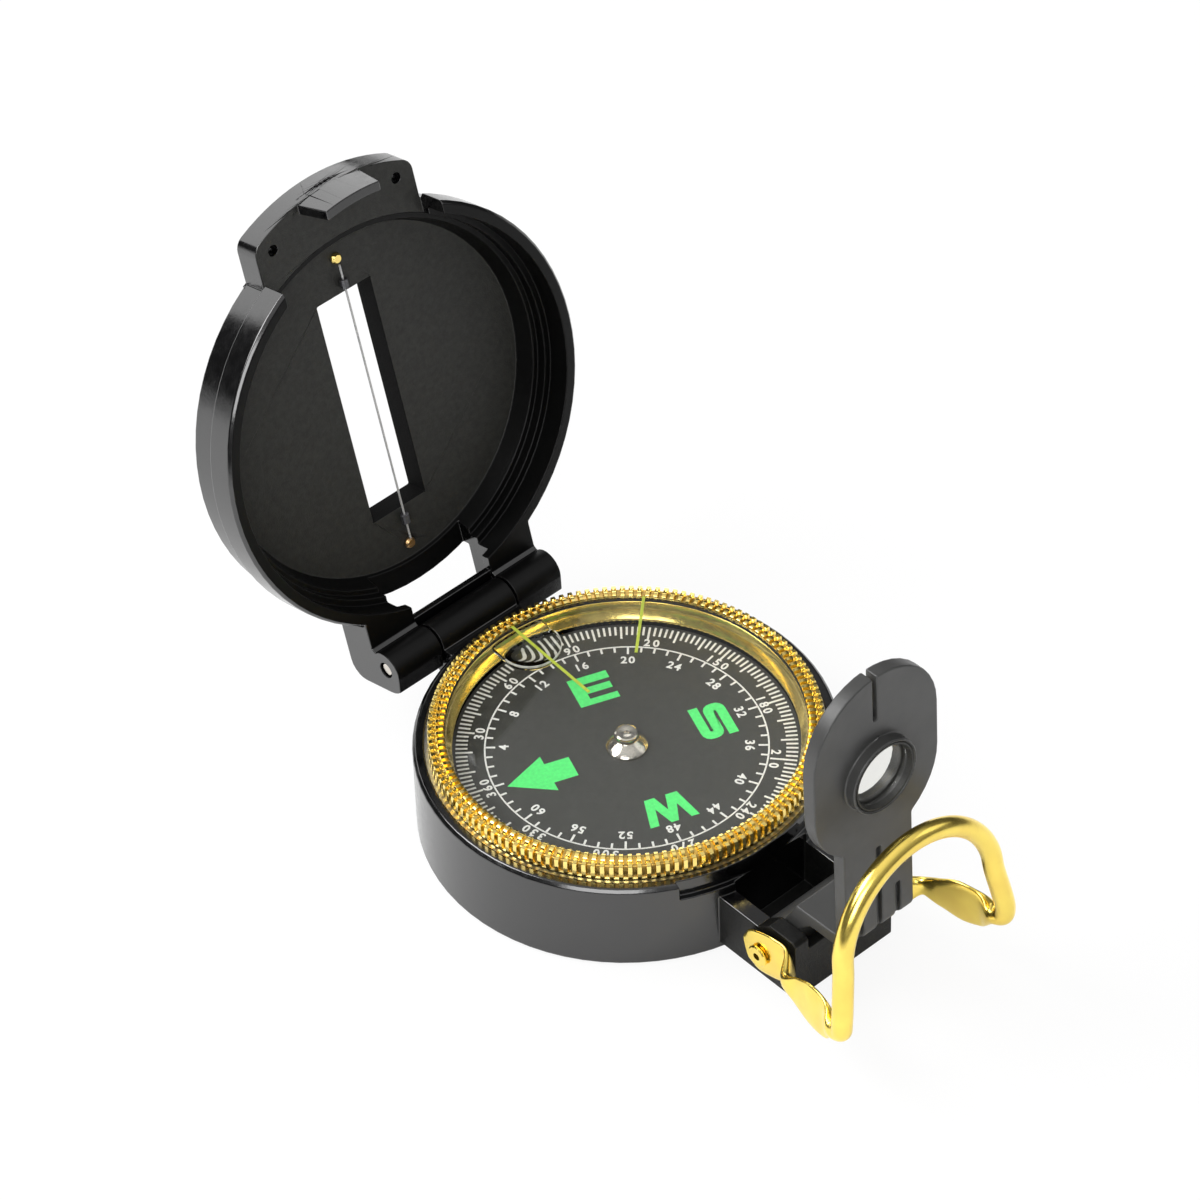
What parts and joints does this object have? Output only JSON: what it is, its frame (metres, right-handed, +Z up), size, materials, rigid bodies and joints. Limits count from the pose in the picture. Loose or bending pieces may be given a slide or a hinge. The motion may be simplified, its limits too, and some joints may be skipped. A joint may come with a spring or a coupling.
{
  "type": "lensatic compass",
  "caption": "Folding pocket compass with a hinged sighting lid, a turning knurled bezel over a floating card, a folding lens eyepiece and a wire thumb ring.",
  "frame": {"origin": "centre of the round case's flat bottom face", "axes": "+Z up through the dial, +Y from the eyepiece bracket to the lid hinge, +X to the right looking along +Y"},
  "size_m": [0.059, 0.117, 0.0771],
  "materials": {
    "black_plastic": "semi-gloss moulded black",
    "grey_plastic": "satin moulded dark grey",
    "dial_black": "matte printed black",
    "gold_metal": "polished gold colour",
    "brass": "dull coppery brass",
    "steel": "plain drawn steel",
    "chrome": "bright turned chrome",
    "magnet": "dull sintered magnet",
    "ruby": "polished jewel",
    "rubber": "matte rubber",
    "clear": "clear acrylic",
    "index_green": "yellow-green paint line"
  },
  "bodies": {
    "case": {"case_shell": "black_plastic", "pivot_plate": "dial_black", "pivot_post": "brass", "pivot_needle": "steel", "bezel_spring": "steel", "bezel_snap_ring": "steel", "hinge_pin": "steel", "pivot_rivet_left": "brass", "pivot_rivet_right": "brass"},
    "card": {"compass_card": "dial_black", "card_magnet": "magnet", "jewel_cap": "chrome", "jewel_bearing": "ruby"},
    "bezel": {"bezel_ring": "gold_metal", "crystal_gasket": "rubber", "bezel_crystal": "clear", "magnifier_lens": "clear", "index_line": "index_green", "bearing_line": "index_green"},
    "lid": {"lid_shell": "black_plastic", "sight_wire": "steel", "wire_pin_upper": "brass", "wire_pin_lower": "brass", "wire_crimp_upper": "steel", "wire_crimp_lower": "steel"},
    "eyepiece": {"eyepiece_arm": "grey_plastic", "eyepiece_lens": "clear", "lens_ring": "black_plastic"},
    "ring": {"thumb_ring": "gold_metal"}
  },
  "joints": [
    {"name": "lid_hinge", "type": "hinge", "parent": "case", "child": "lid", "pos_m": [0, 0.03185, 0.01354], "axis": [-1, 0, 0], "range_deg": [-105, 75]},
    {"name": "eyepiece_fold", "type": "hinge", "parent": "case", "child": "eyepiece", "pos_m": [0, -0.036, 0.0069], "axis": [-1, 0, 0], "range_deg": [0, 88]},
    {"name": "thumb_ring_swing", "type": "hinge", "parent": "case", "child": "ring", "pos_m": [0, -0.036, 0.0069], "axis": [1, 0, 0], "range_deg": [-6, 125]},
    {"name": "bezel_turn", "type": "hinge", "parent": "case", "child": "bezel", "pos_m": [0, 0, 0.0143], "axis": [0, 0, 1], "continuous": true},
    {"name": "card_turn", "type": "hinge", "parent": "case", "child": "card", "pos_m": [0, 0, 0.0131], "axis": [0, 0, 1], "continuous": true}
  ]
}
